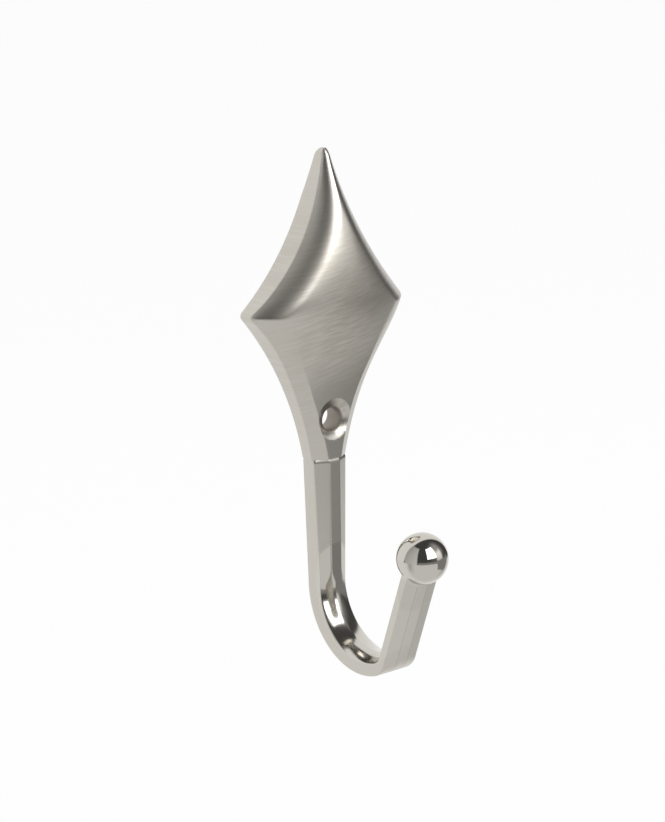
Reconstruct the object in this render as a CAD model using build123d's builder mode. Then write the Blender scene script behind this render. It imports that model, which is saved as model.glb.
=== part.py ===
from build123d import *
import os
from math import cos, pi

# Curtain tieback hook, cast in one piece, in millimetres.
# Z is up, the wall is the plane Y = 0 and the front faces -Y. The origin is where the screw's axis meets the wall.

# Heights above the screw's axis
TIP_HEIGHT = 41.6
CORNER_HEIGHT = 17.8
NECK_HEIGHT = -6.1
BEND_HEIGHT = -25.7

# Outline of the plate, seen from the front
PLATE_WIDTH = 29.4
NECK_WIDTH = 6.2
TIP_WIDTH = 1.0
UPPER_EDGE_RADIUS = 46.0
LOWER_EDGE_RADIUS = 50.0
CORNER_ROUNDING = 1.3
TIP_ROUNDING = 0.45

# Thickness of the plate. The crest is the middle line of the domed front, and the rim is where its flanks
# meet the side walls. The rim is highest between the corners, where the edge comes nearest to the crest.
CREST_DEPTH = 7.6
NECK_DEPTH = 3.95
TIP_DEPTH = 1.7
CORNER_RIM = 2.8
NECK_RIM = 2.3
TIP_RIM = 1.2
UPPER_RIM_RISE = 2.0
LOWER_RIM_RISE = 1.6

# Front of the plate: the crown between two flanks that follow the edges
CORNER_FLANK = 2.6
NECK_FLANK = 2.0
TIP_FLANK = 0.2
CORNER_CROWN = 2.8
NECK_CROWN = 0.05
TIP_CROWN = 0.2
FORM_MARGIN = 1.0
SECTIONS = 6

# Bar of the hook: its widths and depths along the way, and the facets of its section
SHANK_WIDTH = 5.3
END_WIDTH = 5.7
BAR_DEPTH = 3.9
END_DEPTH = 3.0
FRONT_FLAT = 2.0
FRONT_CHAMFER = 1.25
NECK_STEP = 0.1
SHANK_CROWN = 0.04
SHANK_CHAMFER = 0.12
OUTER_CROWN = 0.2
OUTER_CHAMFER = 0.45

# Bend, measured on the outer face
BEND_RADIUS = 12.0
BEND_TURN = 112
HEEL_RADIUS = 4.5
END_LEAN = 20
END_LENGTH = 14.6

# Ball
BALL_DIAMETER = 7.7
BALL_SEAT = 3.0

# Screw hole for a 3.5 mm countersunk wood screw
HOLE_DIAMETER = 3.9
SINK_DIAMETER = 7.1
SINK_ANGLE = 90
HOLE_FACE = 4.6


def swell(share: float) -> float:
    """Return 0 at both ends and 1 halfway, along a parabola."""
    return 4 * share * (1 - share)


def ease(start: float, end: float, share: float) -> float:
    """Return a size between two others, with no slope at either."""
    return start + (end - start) * (1 - cos(pi * share)) / 2


def mix(start: float, end: float, share: float) -> float:
    """Return a size between two others, in proportion."""
    return start + (end - start) * share


def plate_section(point: Vector, rim: float, crest: float, flank: float, crown: float) -> Sketch:
    """Draw the level section of the domed form at a point of the edge, a little wider than the outline."""
    half_width = point.X
    shoulder = half_width - flank
    top = crest - crown
    slope = (top - rim) / flank
    foot = (half_width + FORM_MARGIN, -(rim - FORM_MARGIN * slope))
    with BuildSketch(Plane.XY.offset(point.Y)) as section:
        with BuildLine():
            Polyline((-shoulder, -top), (-foot[0], foot[1]), (-foot[0], FORM_MARGIN), (foot[0], FORM_MARGIN), foot,
                     (shoulder, -top))
            ThreePointArc((shoulder, -top), (0, -crest), (-shoulder, -top))
        make_face()
    return section.sketch


def bar_section(place: Plane, width: float, depth: float, chamfer: float, crown: float) -> Sketch:
    """Draw one section across the bar: local X across the hook and local Y from the outer face inwards."""
    side = width / 2
    wall = depth - FRONT_CHAMFER
    with BuildSketch(place) as section:
        with BuildLine():
            Polyline((0, 0), (side - chamfer, crown), (side, crown + chamfer), (side, wall), (FRONT_FLAT / 2, depth),
                     (-FRONT_FLAT / 2, depth), (-side, wall), (-side, crown + chamfer), (-side + chamfer, crown),
                     (0, 0))
        make_face()
    return section.sketch


# Outline of the plate, with hollow edges
with BuildPart() as outline:
    with BuildSketch(Plane.XZ):
        with BuildLine():
            upper_edge = RadiusArc((TIP_WIDTH / 2, TIP_HEIGHT), (PLATE_WIDTH / 2, CORNER_HEIGHT), -UPPER_EDGE_RADIUS)
            lower_edge = RadiusArc((PLATE_WIDTH / 2, CORNER_HEIGHT), (NECK_WIDTH / 2, NECK_HEIGHT),
                                   -LOWER_EDGE_RADIUS)
            Line((NECK_WIDTH / 2, NECK_HEIGHT), (0, NECK_HEIGHT))
            Line((0, TIP_HEIGHT), (TIP_WIDTH / 2, TIP_HEIGHT))
            mirror(about=Plane.YZ)
        make_face()
        fillet(vertices().group_by(Axis.X)[0] + vertices().group_by(Axis.X)[-1], CORNER_ROUNDING)
        fillet(vertices().group_by(Axis.Y)[-1], TIP_ROUNDING)
    extrude(amount=CREST_DEPTH + FORM_MARGIN)

# Domed form of the front: one loft from the neck to the corners and one from there to the tip
lower_sections = []
upper_sections = []
for step in range(SECTIONS):
    share = step / (SECTIONS - 1)
    rim = mix(NECK_RIM, CORNER_RIM, share) + LOWER_RIM_RISE * swell(share)
    crest = ease(NECK_DEPTH, CREST_DEPTH, share)
    flank = mix(NECK_FLANK, CORNER_FLANK, share)
    crown = ease(NECK_CROWN, CORNER_CROWN, share)
    lower_sections.append(plate_section(lower_edge @ (1 - share), rim, crest, flank, crown))
    rim = mix(CORNER_RIM, TIP_RIM, share) + UPPER_RIM_RISE * swell(share)
    crest = TIP_DEPTH + (CREST_DEPTH - TIP_DEPTH) * cos(pi / 2 * share)
    flank = mix(CORNER_FLANK, TIP_FLANK, share)
    crown = mix(CORNER_CROWN, TIP_CROWN, share)
    upper_sections.append(plate_section(upper_edge @ (1 - share), rim, crest, flank, crown))
with BuildPart() as dome:
    loft(lower_sections)
    loft(upper_sections)

with BuildPart() as tieback_hook:
    add(outline.part)
    add(dome.part, mode=Mode.INTERSECT)
    # Bar: down the wall, round the bend and up to the ball, swept on its outer face
    with BuildLine(Plane.YZ) as route:
        down = Line((0, NECK_HEIGHT), (0, BEND_HEIGHT))
        bend = JernArc(down @ 1, down % 1, BEND_RADIUS, -BEND_TURN)
        heel = JernArc(bend @ 1, bend % 1, HEEL_RADIUS, -(180 - END_LEAN - BEND_TURN))
        rise = Line(heel @ 1, heel @ 1 + (heel % 1) * END_LENGTH)
    across = (1, 0, 0)
    neck_place = Plane(down @ 0, x_dir=across, z_dir=down % 0)
    bend_place = Plane(down @ 1, x_dir=across, z_dir=down % 1)
    heel_place = Plane(heel @ 1, x_dir=across, z_dir=heel % 1)
    end_place = Plane(rise @ 1, x_dir=across, z_dir=rise % 1)
    stations = [
        bar_section(neck_place, NECK_WIDTH - 2 * NECK_STEP, BAR_DEPTH, SHANK_CHAMFER, SHANK_CROWN),
        bar_section(bend_place, SHANK_WIDTH, BAR_DEPTH, SHANK_CHAMFER, SHANK_CROWN),
        bar_section(heel_place, END_WIDTH, END_DEPTH, OUTER_CHAMFER, OUTER_CROWN),
        bar_section(end_place, END_WIDTH, END_DEPTH, OUTER_CHAMFER, OUTER_CROWN),
    ]
    sweep(stations, path=route.line, multisection=True)
    # Ball on the middle of the bar's end
    with Locations(end_place.from_local_coords((0, END_DEPTH / 2, BALL_SEAT))):
        Sphere(BALL_DIAMETER / 2)
    # Countersunk screw hole
    with Locations(Plane(origin=(0, -HOLE_FACE, 0), x_dir=across, z_dir=(0, -1, 0))):
        CounterSinkHole(HOLE_DIAMETER / 2, SINK_DIAMETER / 2, counter_sink_angle=SINK_ANGLE)

os.makedirs("parts", exist_ok=True)
tieback_hook.part.label = "tieback_hook"
export_step(tieback_hook.part, "parts/tieback_hook.step")
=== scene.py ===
"""Curtain tieback hook: one satin nickel casting with a domed kite-shaped plate, on a plain stage."""
from __future__ import annotations

import logging
import math
from collections.abc import Callable
from dataclasses import dataclass, field
from enum import Enum

import bmesh
import bpy
from mathutils import Matrix, Vector


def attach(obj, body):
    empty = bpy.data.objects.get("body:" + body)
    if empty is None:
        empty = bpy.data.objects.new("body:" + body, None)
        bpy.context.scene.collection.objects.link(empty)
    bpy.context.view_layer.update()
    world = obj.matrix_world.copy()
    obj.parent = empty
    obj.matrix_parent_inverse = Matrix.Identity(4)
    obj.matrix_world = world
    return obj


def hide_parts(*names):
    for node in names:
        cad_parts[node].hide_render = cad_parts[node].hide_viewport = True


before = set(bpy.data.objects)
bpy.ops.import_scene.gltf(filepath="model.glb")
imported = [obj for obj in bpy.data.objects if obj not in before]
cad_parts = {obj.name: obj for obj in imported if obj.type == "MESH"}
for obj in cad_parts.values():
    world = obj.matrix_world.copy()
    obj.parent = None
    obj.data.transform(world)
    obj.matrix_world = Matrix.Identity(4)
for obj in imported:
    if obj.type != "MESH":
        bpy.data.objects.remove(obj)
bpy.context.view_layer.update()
MM = 0.001
WHITE = (1.0, 1.0, 1.0, 1.0)
POLISH_MARGIN = 1.0
BALL_MARGIN = 0.25
log = logging.getLogger("tieback_hook")


def mix(start: float, end: float, share: float) -> float:
    """Return a size between two others, in proportion."""
    return start + (end - start) * share


def ease(start: float, end: float, share: float) -> float:
    """Return a size between two others, with no slope at either."""
    return start + (end - start) * (1 - math.cos(math.pi * share)) / 2


def clamp(value: float) -> float:
    """Return a share, kept between 0 and 1."""
    return min(max(value, 0.0), 1.0)


def soft_min(first: float, second: float, reach: float) -> float:
    """Return the smaller of two sizes, rounded where they cross.

    Args:
        first: One size.
        second: The other size.
        reach: Difference below which the two are blended.

    Returns:
        The blended minimum.
    """
    overlap = max(reach - abs(first - second), 0) / reach
    return min(first, second) - overlap * overlap * reach / 4


def rounded(start: Vector, corner: Vector, end: Vector, steps: int) -> list[Vector]:
    """Return the points of a rounded corner.

    Args:
        start: Where the rounding begins.
        corner: The sharp corner that it replaces.
        end: Where the rounding ends, which isn't among the points.
        steps: Number of points.

    Returns:
        The points from the start on.
    """
    shares = [step / steps for step in range(steps)]
    return [start.lerp(corner, share).lerp(corner.lerp(end, share), share) for share in shares]


@dataclass(frozen=True)
class Section:
    """Section across the casting, in millimetres: x from the middle plane, y out from the back.

    The front gives its height at each x. It ends at the rim, where the side wall starts. The points gather
    at the shoulder, where the flank leaves the crown.
    """

    side: float
    shoulder: float
    front: Callable[[float], float]
    rim_round: float = 0.22
    back_cut: float = 0.3
    back_crown: float = 0.0
    back: float = 0.0
    back_flat: float = 0.0

    CROWN_STEPS = 24
    FLANK_STEPS = 14
    ROUND_STEPS = 3
    WALL_STEPS = 4
    BACK_STEPS = 4
    CREASE = 0.04
    CROWN_GATHER = 1.5
    FLANK_GATHER = 1.3
    ROUND_LIMIT = 0.3
    ROUND_TOP = 0.7
    ROUND_DROP = 0.8
    CUT_LIMIT = 0.4

    def half(self) -> list[Vector]:
        """Return the points from the middle of the front round to the middle of the back."""
        left = [1 - step / self.CROWN_STEPS for step in range(self.CROWN_STEPS)]
        places = [self.shoulder * (1 - share**self.CROWN_GATHER) for share in left]
        radius = min(self.rim_round, self.side * self.ROUND_LIMIT)
        last = self.side - radius * self.ROUND_TOP
        for step in range(self.FLANK_STEPS):
            places.append(mix(self.shoulder, last, (step / self.FLANK_STEPS) ** self.FLANK_GATHER))
        points = [Vector((place, self.front(place))) for place in places]
        leave = Vector((last, self.front(last)))
        foot = Vector((self.side, self.front(self.side)))
        arrive = foot - Vector((0, radius * self.ROUND_DROP))
        points += rounded(leave, foot, arrive, self.ROUND_STEPS)
        cut = min(self.back_cut, self.side * self.CUT_LIMIT)
        base = self.back + self.back_crown
        low = Vector((self.side, cut + base))
        under = Vector((self.side - cut, base))
        edge = Vector((self.side, base))
        points += [arrive.lerp(low, step / self.WALL_STEPS) for step in range(self.WALL_STEPS)]
        points += rounded(low, edge, under, self.ROUND_STEPS)
        near = Vector((self.back_flat + self.CREASE, mix(self.back, base, self.CREASE / (self.side - cut))))
        far = Vector((self.back_flat - self.CREASE, self.back))
        points += [under.lerp(near, step / self.BACK_STEPS) for step in range(self.BACK_STEPS)]
        if self.back_flat > 0:
            points += [near, far]
            near = far
        points.append(near.lerp(Vector((0, self.back)), 0.5))
        points.append(Vector((0, self.back)))
        return points

    def ring(self) -> list[Vector]:
        """Return the whole closed section, the mirrored half included."""
        half = self.half()
        return half + [Vector((-point.x, point.y)) for point in reversed(half[1:-1])]


@dataclass(frozen=True)
class HollowEdge:
    """One concave edge of the plate's outline: an arc between two points of the front view."""

    start: tuple[float, float]
    end: tuple[float, float]
    radius: float

    def centre(self) -> Vector:
        """Return the centre of the arc, outside the plate."""
        chord = Vector(self.end) - Vector(self.start)
        middle = (Vector(self.start) + Vector(self.end)) / 2
        outward = Vector((abs(chord.y), math.copysign(chord.x, chord.x * -chord.y))).normalized()
        return middle + outward * math.sqrt(self.radius**2 - (chord.length / 2) ** 2)

    def half_width(self, height: float) -> float:
        """Return the distance from the middle plane to the edge at a height, on the arc's full circle."""
        centre = self.centre()
        return centre.x - math.sqrt(max(self.radius**2 - (height - centre.y) ** 2, 0.0))

    def inside(self, x: float, height: float) -> float:
        """Return how far a point of the plate lies inside the edge."""
        return (Vector((x, height)) - self.centre()).length - self.radius


@dataclass
class Plate:
    """Kite-shaped wall plate with hollow edges and a domed front, in millimetres.

    The crest is the front's middle line. On both sides of it the dome falls off with the square of the
    distance, and along the edges it drops further, over the width of the flanks. Near the neck the flanks
    are crisp facets. The back lifts off the wall at the tip.
    """

    tip_height: float = 41.35
    peak_height: float = 20.0
    corner_height: float = 17.5
    neck_height: float = -6.1
    width: float = 29.8
    neck_width: float = 6.6
    tip_width: float = 1.0
    upper_edge_radius: float = 43.5
    lower_edge_radius: float = 50.0
    corner_reach: float = 1.3
    crest_depth: float = 8.6
    crest_delay: float = 1.8
    neck_depth: float = 3.95
    tip_depth: float = 3.1
    neck_curve: float = 0.005
    middle_curve: float = 0.0185
    tip_steepness: float = 0.6
    neck_drop: float = 1.45
    middle_drop: float = 1.6
    tip_drop: float = 0.1
    neck_flank: float = 2.0
    middle_flank: float = 3.5
    hip_reach: float = 0.5
    steepness_power: float = 1.5
    drop_power: float = 2.5
    soft_power: float = 2.0
    crisp_power: float = 1.0
    facet_rate: float = 2.6
    facet_delay: float = 0.1
    soft_margin: float = 1.25
    crisp_margin: float = 1.08
    least_shoulder: float = 0.3
    least_side: float = 0.02
    tip_lift: float = 1.0
    tip_lift_length: float = 7.5
    tip_lift_power: float = 1.3
    apex_lift: float = 0.8
    apex_length: float = 1.2
    upper_edge: HollowEdge = field(init=False)
    lower_edge: HollowEdge = field(init=False)

    TIP_STEPS = 8
    FIRST_TIP_STEP = 0.2

    def __post_init__(self) -> None:
        """Work out the two edges from the outline's sizes."""
        corner = (self.width / 2, self.corner_height)
        tip = (self.tip_width / 2, self.tip_height)
        neck = (self.neck_width / 2, self.neck_height)
        self.upper_edge = HollowEdge(tip, corner, self.upper_edge_radius)
        self.lower_edge = HollowEdge(corner, neck, self.lower_edge_radius)

    def half_width(self, height: float) -> float:
        """Return half the plate's width at a height, with its corners and tip rounded.

        Args:
            height: Height above the screw's axis.

        Returns:
            The distance from the middle plane to the edge.
        """
        upper, lower = self.upper_edge.half_width(height), self.lower_edge.half_width(height)
        side = soft_min(upper, lower, self.corner_reach)
        tip = self.tip_width / 2
        above = height - (self.tip_height - tip)
        if above <= 0:
            return side
        return min(side, math.sqrt(max(tip**2 - above**2, 0.0)))

    def levels(self, spacing: float) -> list[float]:
        """Return the heights of the plate's sections from the tip down, closer together round the tip.

        Args:
            spacing: Distance between sections along the plate.

        Returns:
            Heights above the screw's axis.
        """
        tip = self.tip_width / 2
        places = [step + self.FIRST_TIP_STEP for step in range(self.TIP_STEPS)]
        angles = [math.pi / 2 * place / self.TIP_STEPS for place in places]
        cap = [self.tip_height - tip * (1 - math.cos(angle)) for angle in angles]
        start = self.tip_height - tip
        count = round((start - self.neck_height) / spacing)
        return cap + [mix(start, self.neck_height, step / count) for step in range(count + 1)]

    def crest(self, height: float) -> float:
        """Return how far the front stands off the wall in the middle plane, at a height."""
        if height >= self.peak_height:
            share = (height - self.peak_height) / (self.tip_height - self.peak_height)
            return self.tip_depth + (self.crest_depth - self.tip_depth) * math.cos(math.pi / 2 * share)
        share = clamp((height - self.neck_height) / (self.peak_height - self.neck_height))
        return ease(self.neck_depth, self.crest_depth, share**self.crest_delay)

    def facet(self, height: float) -> float:
        """Return 0 where the flanks are soft, at the corners and above, and 1 where they are crisp."""
        down = (self.corner_height - height) / (self.corner_height - self.neck_height)
        return ease(0, 1, clamp(down * self.facet_rate - self.facet_delay))

    def front(self, x: float, height: float) -> float:
        """Return how far the front stands off the wall: a dome that drops along its flanks.

        Args:
            x: Distance from the middle plane.
            height: Height above the screw's axis.

        Returns:
            The height of the front over the wall.
        """
        up = clamp((height - self.corner_height) / (self.tip_height - self.corner_height))
        down = clamp((self.corner_height - height) / (self.corner_height - self.neck_height))
        facet = self.facet(height)
        curve = mix(self.neck_curve, self.middle_curve, (1 - down) ** 2)
        steepness = mix(self.middle_curve * self.width / 2, self.tip_steepness, up**self.steepness_power)
        if up > 0:
            curve = steepness / self.upper_edge.half_width(height)
        lower_drop = self.middle_drop * (1 - down) + self.neck_drop * down**2
        drop = mix(lower_drop, self.tip_drop, up**self.drop_power)
        reach = mix(self.middle_flank, self.neck_flank, facet)
        power = mix(self.soft_power, self.crisp_power, facet)
        upper, lower = self.upper_edge.inside(x, height), self.lower_edge.inside(x, height)
        share = clamp(1 - soft_min(upper, lower, self.hip_reach) / reach)
        return self.crest(height) - curve * x * x - drop * share**power

    def section(self, height: float) -> Section:
        """Return the level section at a height.

        Args:
            height: Height above the screw's axis.

        Returns:
            The section, with its back on the wall or lifted off it near the tip.
        """
        side = max(self.half_width(height), self.least_side)
        facet = self.facet(height)
        reach = mix(self.middle_flank, self.neck_flank, facet)
        margin = mix(self.soft_margin, self.crisp_margin, facet)
        shoulder = max(side - reach * margin, side * self.least_shoulder)
        from_tip = height - self.tip_height
        apex = clamp(from_tip / self.apex_length + 1) ** 2 * self.apex_lift
        lift = self.tip_lift * clamp(from_tip / self.tip_lift_length + 1) ** self.tip_lift_power + apex
        return Section(side, shoulder, lambda x: self.front(x, height) - apex / 2, back=lift)


@dataclass
class Bar:
    """Faceted bar of the hook: down the wall, round the bend and up to the ball, in millimetres.

    Its outer face lies on the wall along the shank. The front is a flat between two chamfers, and it is
    rounded inside the bend. On the end piece the outer face has three facets.
    """

    bend_height: float = -25.7
    neck_width: float = 6.3
    shank_width: float = 5.0
    end_width: float = 6.5
    neck_depth: float = 3.9
    depth: float = 3.9
    end_depth: float = 3.0
    front_flat: float = 1.9
    end_flat: float = 1.7
    neck_chamfer: float = 1.2
    shank_chamfer: float = 0.85
    end_chamfer: float = 1.3
    shank_cut: float = 0.15
    outer_crown: float = 0.3
    outer_cut: float = 0.45
    outer_flat: float = 1.05
    rim_round: float = 0.16
    shank_round: float = 0.1
    bend_round: float = 1.0
    heel_round: float = 0.3
    round_lead: float = 2.0
    seam_depth: float = 0.12
    seam_width: float = 0.3
    bend_radius: float = 12.25
    bend_turn: float = 112.0
    heel_radius: float = 4.5
    end_lean: float = 20.0
    end_length: float = 14.6
    ball_radius: float = 3.9
    ball_seat: float = 2.95

    def lengths(self, neck_height: float) -> tuple[float, float, float, float]:
        """Return the length along the outer face at the ends of the straight, bend, heel and rise."""
        straight = neck_height - self.bend_height
        bend = straight + self.bend_radius * math.radians(self.bend_turn)
        heel = bend + self.heel_radius * math.radians(180 - self.end_lean - self.bend_turn)
        return straight, bend, heel, heel + self.end_length

    def place(self, travel: float, neck_height: float) -> tuple[Vector, Vector, Vector]:
        """Return where the outer face is after a length of travel from the neck.

        Args:
            travel: Length along the outer face.
            neck_height: Height at which the bar starts.

        Returns:
            The point, the direction along the bar and the direction into it, all in the middle plane.
        """
        straight, bend, heel, _ = self.lengths(neck_height)
        bend_centre = Vector((0, -self.bend_radius, self.bend_height))
        angle = (min(max(travel, straight), bend) - straight) / self.bend_radius
        turned = Vector((0, -math.cos(angle), math.sin(angle)))
        if travel <= straight:
            return Vector((0, 0, neck_height - travel)), Vector((0, 0, -1)), turned
        if travel <= bend:
            along = Vector((0, -math.sin(angle), -math.cos(angle)))
            return bend_centre - turned * self.bend_radius, along, turned
        heel_centre = bend_centre - turned * (self.bend_radius - self.heel_radius)
        angle += (min(travel, heel) - bend) / self.heel_radius
        inward = Vector((0, -math.cos(angle), math.sin(angle)))
        along = Vector((0, -math.sin(angle), -math.cos(angle)))
        return heel_centre - inward * self.heel_radius + along * max(travel - heel, 0.0), along, inward

    def section(self, travel: float, neck_height: float) -> Section:
        """Return the bar's section after a length of travel from the neck.

        Args:
            travel: Length along the outer face.
            neck_height: Height at which the bar starts.

        Returns:
            The section, with its back on the outer face.
        """
        straight, bend, heel, _ = self.lengths(neck_height)
        down = clamp(travel / straight)
        round_bend = clamp((travel - straight) / (heel - straight))
        round_heel = clamp((travel - bend) / (heel - bend))
        width = mix(mix(self.neck_width, self.shank_width, down), self.end_width, round_bend)
        depth = mix(mix(self.neck_depth, self.depth, down), self.end_depth, round_bend)
        chamfer = mix(mix(self.neck_chamfer, self.shank_chamfer, down), self.end_chamfer, round_bend)
        cut = mix(self.shank_cut, self.outer_cut, round_heel)
        crown = self.outer_crown * round_heel
        groove = self.seam_depth * clamp(1 - travel / self.seam_width)
        width, depth = width - 2 * groove, depth - groove
        side = width / 2
        flat = mix(self.front_flat, self.end_flat, round_bend) / 2
        slope = chamfer / (side - flat)
        wall = depth - chamfer
        into_bend = ease(0, 1, clamp((travel - straight + self.round_lead) / (2 * self.round_lead)))
        soft = mix(mix(self.shank_round, self.bend_round, into_bend), self.heel_round, round_heel)
        return Section(side, flat, lambda x: soft_min(depth, wall + (side - x) * slope, soft),
                       self.rim_round, cut, crown, back_flat=self.outer_flat)


@dataclass
class ScrewHole:
    """Countersunk hole through the plate, in millimetres."""

    radius: float = 1.8
    sink_radius: float = 3.4
    sink_floor: float = 3.3
    sink_rise: float = 0.75
    lip_width: float = 0.08
    lip_depth: float = 0.12
    edge_width: float = 0.1
    edge_rise: float = 0.3
    flare: float = 0.25
    behind: float = 1.0
    reach: float = 12.0
    segments: int = 96

    MERGE = 0.001

    def cutter(self) -> bpy.types.Object:
        """Return the body that cuts the hole: a profile turned about the screw's axis."""
        top = -self.sink_floor - self.sink_rise
        profile = [
            (0.0, self.behind),
            (self.radius, self.behind),
            (self.radius, self.lip_depth - self.sink_floor),
            (self.radius + self.lip_width, -self.sink_floor),
            (self.sink_radius - self.edge_width, top),
            (self.sink_radius + self.edge_width, top - self.edge_rise),
            (self.sink_radius + self.flare, -self.reach),
            (0.0, -self.reach),
        ]
        mesh = bmesh.new()
        verts = [mesh.verts.new((x, y, 0)) for x, y in profile]
        edges = [mesh.edges.new(pair) for pair in zip(verts, verts[1:])]
        bmesh.ops.spin(mesh, geom=verts + edges, cent=(0, 0, 0), axis=(0, 1, 0), angle=math.tau,
                       steps=self.segments, use_merge=True)
        bmesh.ops.remove_doubles(mesh, verts=mesh.verts, dist=self.MERGE)
        bmesh.ops.recalc_face_normals(mesh, faces=mesh.faces)
        bmesh.ops.scale(mesh, vec=(MM, MM, MM), verts=mesh.verts)
        return new_object("hole_cutter", mesh)


def new_object(name: str, mesh: bmesh.types.BMesh) -> bpy.types.Object:
    """Return a new object of the scene that holds a finished mesh."""
    data = bpy.data.meshes.new(name)
    mesh.to_mesh(data)
    mesh.free()
    piece = bpy.data.objects.new(name, data)
    bpy.context.scene.collection.objects.link(piece)
    return piece


@dataclass
class Casting:
    """The whole hook as one closed mesh, drawn out section by section from the tip to the ball."""

    plate: Plate = field(default_factory=Plate)
    bar: Bar = field(default_factory=Bar)
    hole: ScrewHole = field(default_factory=ScrewHole)
    spacing: float = 0.25
    bar_spacing: float = 0.35
    ball_rings: int = 36
    sharp_angle: float = 32.0

    FIRST_TRAVEL = 0.05
    MERGE = 0.004
    EVEN_RATE = 2.0

    def rings(self) -> list[list[Vector]]:
        """Return every ring of points, from the plate's tip to the far side of the ball."""
        neck = self.plate.neck_height
        rings = []
        for height in self.plate.levels(self.spacing):
            rings.append([Vector((p.x, -p.y, height)) for p in self.plate.section(height).ring()])
        *_, end = self.bar.lengths(neck)
        reach = end + self.bar.ball_seat - self.bar.ball_radius
        count = round(reach / self.bar_spacing)
        for step in range(count + 1):
            travel = max(reach * step / count, self.FIRST_TRAVEL)
            point, _, inward = self.bar.place(travel, neck)
            section = self.bar.section(travel, neck).ring()
            rings.append([point + inward * p.y + Vector((p.x, 0, 0)) for p in section])
        return rings + self.ball_points(end, neck)

    def ball_centre(self) -> Vector:
        """Return the middle of the ball."""
        *_, end = self.bar.lengths(self.plate.neck_height)
        point, along, inward = self.bar.place(end, self.plate.neck_height)
        return point + inward * (self.bar.end_depth / 2) + along * self.bar.ball_seat

    def ball_points(self, end: float, neck: float) -> list[list[Vector]]:
        """Return the rings of the ball.

        Args:
            end: Length of travel at the end of the bar.
            neck: Height at which the bar starts.

        Returns:
            Rings from where the bar runs into the ball to its far pole, spread evenly round it on the way.
        """
        _, along, inward = self.bar.place(end, neck)
        section = self.bar.section(end, neck).ring()
        axis = Vector((0, self.bar.end_depth / 2))
        centre = self.ball_centre()
        radius = self.bar.ball_radius
        rings = []
        for step in range(self.ball_rings + 1):
            share = step / self.ball_rings
            ring = []
            for index, corner in enumerate(section):
                offset = corner - axis
                spread = math.asin(min(offset.length / radius, 1.0))
                drawn = math.atan2(offset.x, offset.y)
                even = math.tau * index / len(section)
                even += math.tau * round((drawn - even) / math.tau)
                turn = mix(drawn, even, min(share * self.EVEN_RATE, 1.0))
                polar = mix(spread, math.pi, share)
                out = Vector((math.sin(turn), 0, 0)) + inward * math.cos(turn)
                ring.append(centre + (out * math.sin(polar) - along * math.cos(polar)) * radius)
            rings.append(ring)
        return rings

    def build(self) -> bpy.types.Object:
        """Draw out the rings, close both ends, cut the screw hole and return the finished piece."""
        mesh = bmesh.new()
        rings = self.rings()
        verts = [mesh.verts.new(point) for point in rings[0]]
        edges = [mesh.edges.new((verts[index - 1], verts[index])) for index in range(len(verts))]
        mesh.faces.new(verts)
        for ring in rings[1:]:
            grown = bmesh.ops.extrude_edge_only(mesh, edges=edges)["geom"]
            edges = [item for item in grown if isinstance(item, bmesh.types.BMEdge)]
            fresh = {item for item in grown if isinstance(item, bmesh.types.BMVert)}
            verts = [next(e.other_vert(v) for e in v.link_edges if e.other_vert(v) in fresh) for v in verts]
            ends = set(verts)
            edges = [edge for edge in edges if edge.verts[0] in ends and edge.verts[1] in ends]
            for vert, point in zip(verts, ring):
                vert.co = point
        bmesh.ops.remove_doubles(mesh, verts=mesh.verts, dist=self.MERGE)
        bmesh.ops.recalc_face_normals(mesh, faces=mesh.faces)
        bmesh.ops.scale(mesh, vec=(MM, MM, MM), verts=mesh.verts)
        piece = new_object("hook_casting", mesh)
        self.drill(piece)
        piece.data.shade_smooth()
        piece.data.set_sharp_from_angle(angle=math.radians(self.sharp_angle))
        return piece

    def drill(self, piece: bpy.types.Object) -> None:
        """Cut the screw hole into the piece and keep the result as its mesh."""
        cutter = self.hole.cutter()
        cut = piece.modifiers.new("screw_hole", "BOOLEAN")
        cut.operation = "DIFFERENCE"
        cut.solver = "EXACT"
        cut.object = cutter
        bpy.context.view_layer.update()
        evaluated = piece.evaluated_get(bpy.context.evaluated_depsgraph_get())
        data = bpy.data.meshes.new_from_object(evaluated)
        piece.modifiers.clear()
        piece.data = data
        bpy.data.objects.remove(cutter)


Colour = tuple[float, float, float, float]


class Ray(Enum):
    """Kinds of rays that a shader can tell apart."""

    CAMERA = "Is Camera Ray"
    MIRRORED = "Is Glossy Ray"


@dataclass
class Wave:
    """A number that varies over a surface or a sky: one socket of a node tree, with arithmetic."""

    tree: Web
    socket: bpy.types.NodeSocket

    def __add__(self, other: Wave | float) -> Wave:
        """Add."""
        return self.tree.math("ADD", self, other)

    __radd__ = __add__

    def __sub__(self, other: Wave | float) -> Wave:
        """Subtract."""
        return self.tree.math("SUBTRACT", self, other)

    def __rsub__(self, other: Wave | float) -> Wave:
        """Subtract from a number."""
        return self.tree.math("SUBTRACT", other, self)

    def __mul__(self, other: Wave | float) -> Wave:
        """Multiply."""
        return self.tree.math("MULTIPLY", self, other)

    __rmul__ = __mul__

    def __truediv__(self, other: Wave | float) -> Wave:
        """Divide."""
        return self.tree.math("DIVIDE", self, other)

    def to(self, other: Wave | float, share: Wave | float) -> Wave:
        """Return the value moved towards another by a share."""
        return self + (other - self) * share

    def step(self, low: float, high: float) -> Wave:
        """Return 0 below one value and 1 above another, with a smooth change between them."""
        return self.tree.node("ShaderNodeMapRange", {"interpolation_type": "SMOOTHSTEP"},
                              {"Value": self, "From Min": low, "From Max": high})

    def band(self, low: float, high: float, soft: float) -> Wave:
        """Return 1 between two values and 0 beyond them, with soft ends."""
        return self.step(low - soft, low + soft) - self.step(high - soft, high + soft)


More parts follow.
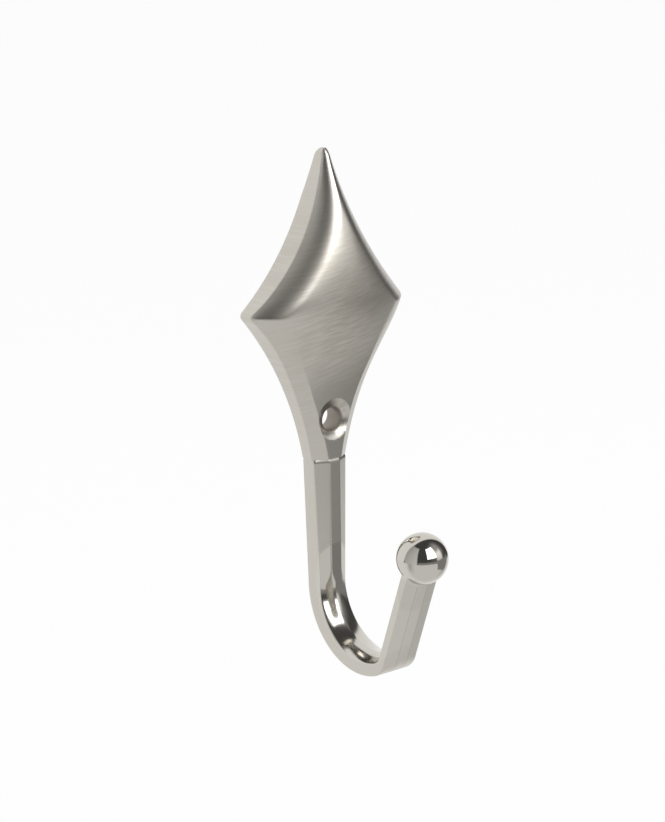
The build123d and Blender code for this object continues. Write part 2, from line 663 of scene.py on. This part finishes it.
@dataclass
class Web:
    """Node tree of a material or of the sky, with short ways to add to it."""

    nodes: bpy.types.NodeTree

    def node(self, kind: str, settings: dict[str, object] | None = None,
             values: dict[str | int, object] | None = None, output: str | int = 0) -> Wave:
        """Add a node.

        Args:
            kind: Type of the node.
            settings: Its settings, which are set first.
            values: Values or links of its sockets, by name or place.
            output: The output that is returned.

        Returns:
            The output socket, wrapped.
        """
        made = self.nodes.nodes.new(kind)
        for name, value in (settings or {}).items():
            setattr(made, name, value)
        for name, value in (values or {}).items():
            if isinstance(value, Wave):
                self.nodes.links.new(value.socket, made.inputs[name])
            else:
                made.inputs[name].default_value = value
        return Wave(self, made.outputs[output])

    def math(self, operation: str, *values: Wave | float) -> Wave:
        """Return a Math node's result."""
        return self.node("ShaderNodeMath", {"operation": operation}, dict(enumerate(values)))

    def parts(self, vector: Wave) -> tuple[Wave, Wave, Wave]:
        """Return the X, Y and Z of a vector."""
        split = self.node("ShaderNodeSeparateXYZ", values={"Vector": vector}).socket.node.outputs
        return Wave(self, split["X"]), Wave(self, split["Y"]), Wave(self, split["Z"])

    def length(self, first: Wave, second: Wave) -> Wave:
        """Return the length of a step with two sides at a right angle."""
        return self.math("SQRT", first * first + second * second)

    def tint(self, colour: Wave | Colour, other: Wave | Colour, share: Wave) -> Wave:
        """Return a colour moved towards another by a share."""
        return self.node("ShaderNodeMix", {"data_type": "RGBA"}, {0: share, 6: colour, 7: other}, 2)

    def sees(self, ray: Ray) -> Wave:
        """Return 1 for rays of one kind and 0 for all others."""
        return self.node("ShaderNodeLightPath", output=ray.value)

    def finish(self, surface: Wave, kind: str) -> None:
        """Link a shader to the tree's output."""
        made = self.nodes.nodes.new(kind)
        self.nodes.links.new(surface.socket, made.inputs["Surface"])


@dataclass(frozen=True)
class SatinNickel:
    """Brushed satin nickel, polished on the ball and inside the bend, in millimetres.

    The brushing is coarsest in the middle of the plate. The bore of the screw hole is duller, and darker
    with painted shade.
    The edge that lies on the wall, with the back, and the two fine creases of the end piece are darker too,
    with painted shade.
    """

    bend: Vector
    bend_reach: float
    ball: Vector
    ball_reach: float
    crease: float
    colour: Colour = (0.60, 0.575, 0.525, 1.0)
    # darker colour for the worn streaks of the brushing, and for the painted shade in the creases and along
    # the back edge
    wear_and_shade: Colour = (0.49, 0.45, 0.385, 1.0)
    # painted shade colour for the bore of the screw hole
    shade: Colour = (0.34, 0.31, 0.27, 1.0)
    satin: float = 0.28
    brushed: float = 0.40
    polish: float = 0.06
    bend_polish: float = 0.13
    dull: float = 0.5
    polish_edge: float = 0.25
    brushed_height: float = 17.0
    brushed_reach: float = 9.5
    brushed_squash: float = 0.6
    grain_width: float = 0.22
    grain_length: float = 3.0
    grain_slant: float = 0.3
    grain_lean: float = 12.0
    grain_detail: float = 3.0
    grain_depth: float = 0.006
    grain_least: float = 0.2
    grain_rough: float = 0.03
    grain_rough_middle: float = 0.14
    patch_size: float = 5.0
    patch_rough: float = 0.05
    noise_low: float = 0.3
    noise_detail: float = 2.0
    pit_size: float = 0.35
    pit_depth: float = 0.0016
    crease_shade_width: tuple[float, float] = (0.03, 0.10)
    crease_shade_from: tuple[float, float] = (13.0, 14.0)
    bore_reach: tuple[float, float] = (1.95, 2.1)
    bore_depth: tuple[float, float] = (3.4, 3.7)
    seat_shade_depth: tuple[float, float] = (0.05, 0.4)
    seat_shade_share: float = 0.8
    worn_grain: tuple[float, float] = (0.30, 0.65)
    worn_least: float = 0.1

    def near(self, web: Web, place: Wave, centre: Vector, reach: float) -> Wave:
        """Return 1 within a distance of a point and 0 beyond it.

        Args:
            web: The material's nodes.
            place: Position on the surface.
            centre: The point.
            reach: The distance.

        Returns:
            The mask, soft at its edge.
        """
        values = {0: place, 1: centre * MM}
        gap = web.node("ShaderNodeVectorMath", {"operation": "DISTANCE"}, values, "Value")
        return 1 - gap.step((reach - self.polish_edge) * MM, (reach + self.polish_edge) * MM)

    def grain(self, web: Web, place: Wave) -> Wave:
        """Return the brushing: fine long streaks across the plate, leaning a little."""
        slant = self.grain_slant / self.grain_length
        along = Vector((1 / self.grain_length, slant, 1 / self.grain_width)) / MM
        turned = web.node("ShaderNodeVectorRotate", {"rotation_type": "Y_AXIS"},
                          {"Vector": place, "Angle": math.radians(self.grain_lean)})
        stretched = web.node("ShaderNodeVectorMath", {"operation": "MULTIPLY"}, {0: turned, 1: along})
        values = {"Vector": stretched, "Scale": 1.0, "Detail": self.grain_detail}
        return web.node("ShaderNodeTexNoise", values=values)

    def noise(self, web: Web, place: Wave, size: float) -> Wave:
        """Return soft noise with patches of a size."""
        values = {"Vector": place, "Scale": 1 / (size * MM), "Detail": self.noise_detail}
        return web.node("ShaderNodeTexNoise", values=values)

    def material(self) -> bpy.types.Material:
        """Return the finish as a material."""
        made = bpy.data.materials.new("satin_nickel")
        made.use_nodes = True
        made.node_tree.nodes.clear()
        web = Web(made.node_tree)
        place = web.node("ShaderNodeTexCoord", output="Object")
        x, y, z = web.parts(place)
        side, out, height = web.math("ABSOLUTE", x) / MM, y * (-1 / MM), z / MM
        level = web.node("ShaderNodeCombineXYZ", values={"Y": y, "Z": z})
        ball = self.near(web, place, self.ball, self.ball_reach)
        inner = self.near(web, level, self.bend, self.bend_reach)
        satin = 1 - web.math("MAXIMUM", ball, inner)
        grain, patch = self.grain(web, place), self.noise(web, place, self.patch_size)
        pits = self.noise(web, place, self.pit_size)
        gap = web.length(side, (height - self.brushed_height) * math.sqrt(self.brushed_squash))
        middle = web.math("EXPONENT", 0 - gap * gap / self.brushed_reach**2)
        bore = (1 - web.length(side, height).step(*self.bore_reach)) * (1 - out.step(*self.bore_depth))

        streaks = (grain - self.noise_low) * (self.grain_rough + middle * self.grain_rough_middle)
        rough = self.satin + (self.brushed - self.satin) * middle + streaks
        rough = rough + (patch - self.noise_low) * self.patch_rough
        rough = rough.to(self.bend_polish, inner).to(self.polish, ball).to(self.dull, bore)

        # painted shade: thin dark lines along the two fine creases of the end piece
        crease_shade = 1 - web.math("ABSOLUTE", side - self.crease).step(*self.crease_shade_width)
        crease_shade = crease_shade * out.step(*self.crease_shade_from) * (1 - ball)
        # painted shade: the edge that lies on the wall, and the whole back, are darkened
        seat_shade = (1 - out.step(*self.seat_shade_depth)) * self.seat_shade_share
        wear_and_shade = grain.step(*self.worn_grain) * (self.worn_least + middle * (1 - self.worn_least)) * satin
        # the darker colour takes the worn streaks together with the painted shade of the creases and back
        # edge
        wear_and_shade = web.math("MAXIMUM", web.math("MAXIMUM", wear_and_shade, crease_shade), seat_shade)
        # painted shade: the bore of the screw hole is tinted with the shade colour
        tint = web.tint(web.tint(self.colour, self.wear_and_shade, wear_and_shade), self.shade, bore)

        coarse = (self.grain_least + middle * (1 - self.grain_least)) * self.grain_depth
        relief = (grain * coarse + pits * self.pit_depth) * satin
        bump = web.node("ShaderNodeBump", values={"Height": relief, "Distance": MM, "Strength": 1.0})
        surface = web.node("ShaderNodeBsdfPrincipled", values={
            "Base Color": tint, "Metallic": 1.0, "Roughness": rough, "Normal": bump})
        web.finish(surface, "ShaderNodeOutputMaterial")
        return made


@dataclass(frozen=True)
class Card:
    """A bright or dark area of the room, between two turns and two lifts in degrees."""

    turns: tuple[float, float]
    lifts: tuple[float, float]
    turn_soft: float
    lift_soft: float
    level: float

    def mask(self, turn: Wave, lift: Wave) -> Wave:
        """Return 1 in the area and 0 around it."""
        return turn.band(*self.turns, self.turn_soft) * lift.band(*self.lifts, self.lift_soft)


@dataclass(frozen=True)
class Room:
    """What the metal reflects: white behind, a dark room in front with a window, and a pale table.

    Turns are in degrees to the right of straight ahead, and lifts are in degrees above the horizon.
    """

    axis: tuple[float, float] = (-0.148, 0.989)
    opening: float = 0.446
    opening_lean: float = 0.29
    opening_soft: float = 0.05
    dark: float = 0.07
    panel: Card = Card((-124, -64), (-13, 59), 3, 3, 0.64)
    panel_turn_rate: float = 0.004
    panel_lift_rate: float = -0.002
    doorway: Card = Card((27, 58), (-4, 30), 6, 8, 0.85)
    glow: Card = Card((5, 68), (8, 58), 18, 14, 0.35)
    window: Card = Card((-18, 27), (12, 56), 1.5, 2, 3.4)
    horizon_turns: tuple[float, float] = (-60, 90)
    horizon_soft: float = 8.0
    horizon_drops: tuple[float, float] = (-1, 5)
    horizon: float = 0.28
    table: float = 0.80
    table_dark: float = 0.42
    table_behind: float = 0.15
    behind_ahead: tuple[float, float] = (0.0, -0.4)
    wing_middle: float = -12.0
    wing_turns: tuple[float, float] = (60, 100)
    wing_ahead: tuple[float, float] = (-0.3, 0.1)
    wing_lifts: tuple[float, float] = (-60, -20)
    table_drop: float = 11.5
    near_edge_turns: tuple[float, float] = (31, 85)
    near_edge_soft: float = 6.0
    near_edge_drop: float = 23.0
    table_soft: float = 2.5
    plain: float = 0.9

    def ground(self, turn: Wave, lift: Wave, ahead: Wave) -> Wave:
        """Return the table's level: darker far to the sides and brighter behind."""
        aside = turn.tree.math("ABSOLUTE", turn - self.wing_middle)
        wings = aside.step(*self.wing_turns) * ahead.step(*self.wing_ahead)
        dark = wings * self.table_dark * lift.step(*self.wing_lifts)
        return self.table - dark + ahead.step(*self.behind_ahead) * self.table_behind

    def build(self) -> None:
        """Make the room the scene's world. The camera sees white, and matt surfaces a plain level."""
        world = bpy.data.worlds.new("studio")
        world.use_nodes = True
        world.node_tree.nodes.clear()
        bpy.context.scene.world = world
        web = Web(world.node_tree)
        x, y, z = web.parts(web.node("ShaderNodeTexCoord", output="Generated"))
        turn = web.math("ARCTAN2", x, 0 - y) * math.degrees(1)
        lift = web.math("ARCSINE", z) * math.degrees(1)
        ahead = x * self.axis[0] - y * self.axis[1]
        front = (ahead + self.opening - z * self.opening_lean).step(-self.opening_soft, self.opening_soft)
        level = 1 - front * (1 - self.dark)
        from_middle = turn - sum(self.panel.turns) / 2
        panel_level = from_middle * self.panel_turn_rate + lift * self.panel_lift_rate + self.panel.level
        level = level.to(panel_level, self.panel.mask(turn, lift))
        level = level.to(self.doorway.level, self.doorway.mask(turn, lift))
        level = level + self.glow.level * self.glow.mask(turn, lift)
        level = level.to(self.window.level, self.window.mask(turn, lift))
        low = (0 - lift).step(*self.horizon_drops)
        level = level.to(self.horizon, turn.band(*self.horizon_turns, self.horizon_soft) * low)
        near_edge = turn.band(*self.near_edge_turns, self.near_edge_soft)
        drop = self.table_drop + near_edge * self.near_edge_drop
        below = (0 - lift - drop).step(-self.table_soft, self.table_soft)
        level = level.to(self.ground(turn, lift, ahead), below)
        strength = self.plain + (level - self.plain) * web.sees(Ray.MIRRORED)
        strength = strength.to(1.0, web.sees(Ray.CAMERA))
        surface = web.node("ShaderNodeBackground", values={"Color": WHITE, "Strength": strength})
        web.finish(surface, "ShaderNodeOutputWorld")


@dataclass(frozen=True)
class Viewpoint:
    """Camera at the photograph's viewing angle, in millimetres and degrees."""

    lens: float = 92.55
    sensor: float = 36.0
    turn: float = -39.10
    lift: float = 13.63
    roll: float = -0.82
    distance: float = 325.13
    across: float = 2.211
    above: float = 0.157
    origin_height: float = 0.5
    near: float = 10.0
    far: float = 200000.0

    def build(self) -> None:
        """Add the camera and make it the scene's."""
        turn, lift, roll = math.radians(self.turn), math.radians(self.lift), math.radians(self.roll)
        back = Vector((math.sin(turn) * math.cos(lift), -math.cos(turn) * math.cos(lift), math.sin(lift)))
        right = Vector((math.cos(turn), math.sin(turn), 0))
        up = back.cross(right)
        level = right * math.cos(roll) + up * math.sin(roll)
        plumb = up * math.cos(roll) - right * math.sin(roll)
        place = level * self.across + plumb * self.above + back * self.distance
        place += Vector((0, 0, self.origin_height))
        data = bpy.data.cameras.new("camera")
        data.lens = self.lens
        data.sensor_width = self.sensor
        data.clip_start = self.near * MM
        data.clip_end = self.far * MM
        made = bpy.data.objects.new("camera", data)
        axes = Matrix((level, plumb, back)).transposed().to_4x4()
        made.matrix_world = Matrix.Translation(place * MM) @ axes
        bpy.context.scene.collection.objects.link(made)
        bpy.context.scene.camera = made


@dataclass(frozen=True)
class Floor:
    """Plain pale floor, in metres."""

    size: float = 40.0
    height: float = -0.12
    paint: Colour = (0.9, 0.9, 0.9, 1.0)
    white_share: float = 0.85

    def material(self) -> bpy.types.Material:
        """Return matt paint that the camera sees nearly white, with the shadow kept."""
        made = bpy.data.materials.new("pale_floor")
        made.use_nodes = True
        made.node_tree.nodes.clear()
        web = Web(made.node_tree)
        matt = web.node("ShaderNodeBsdfDiffuse", values={"Color": self.paint})
        white = web.node("ShaderNodeEmission", values={"Color": WHITE, "Strength": 1.0})
        share = web.sees(Ray.CAMERA) * self.white_share
        surface = web.node("ShaderNodeMixShader", values={0: share, 1: matt, 2: white})
        web.finish(surface, "ShaderNodeOutputMaterial")
        return made

    def build(self) -> None:
        """Add the floor to the stage."""
        mesh = bmesh.new()
        bmesh.ops.create_grid(mesh, x_segments=1, y_segments=1, size=self.size / 2)
        bmesh.ops.translate(mesh, vec=(0, 0, self.height), verts=mesh.verts)
        made = new_object("floor", mesh)
        made.data.materials.append(self.material())
        made.visible_glossy = False


@dataclass(frozen=True)
class SoftLamp:
    """Soft lamp over the object, which gives the floor its shadow, in metres, watts and degrees."""

    place: tuple[float, float, float] = (0.1, -0.3, 0.7)
    tilt: float = 22.0
    size: float = 0.5
    power: float = 1.5

    def build(self) -> None:
        """Add the lamp."""
        data = bpy.data.lights.new("soft_lamp", "AREA")
        data.size = self.size
        data.energy = self.power
        made = bpy.data.objects.new("soft_lamp", data)
        made.location = self.place
        made.rotation_euler = (math.radians(self.tilt), 0, 0)
        made.visible_glossy = False
        bpy.context.scene.collection.objects.link(made)


def dress(casting: Casting) -> bpy.types.Object:
    """Build the casting in its finish, attach it to the root body and hide the CAD part.

    Args:
        casting: The hook's sizes.

    Returns:
        The finished piece.
    """
    bar = casting.bar
    bend_centre = Vector((0, -bar.bend_radius, bar.bend_height))
    bend_reach = bar.bend_radius - bar.end_depth + POLISH_MARGIN
    ball_reach = bar.ball_radius + BALL_MARGIN
    finish = SatinNickel(bend_centre, bend_reach, casting.ball_centre(), ball_reach, bar.outer_flat)
    piece = casting.build()
    piece.data.materials.clear()
    piece.data.materials.append(finish.material())
    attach(piece, "root")
    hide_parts("tieback_hook")
    return piece


def main() -> None:
    """Build the casting, dress it and set the stage."""
    logging.basicConfig(level=logging.INFO)
    bpy.context.scene.view_settings.view_transform = "Standard"
    piece = dress(Casting())
    log.info("%s: %d faces", piece.name, len(piece.data.polygons))
    for part in (Viewpoint(), Floor(), Room(), SoftLamp()):
        part.build()
        log.info("%s: ready", type(part).__name__)


if __name__ == "__main__":
    main()
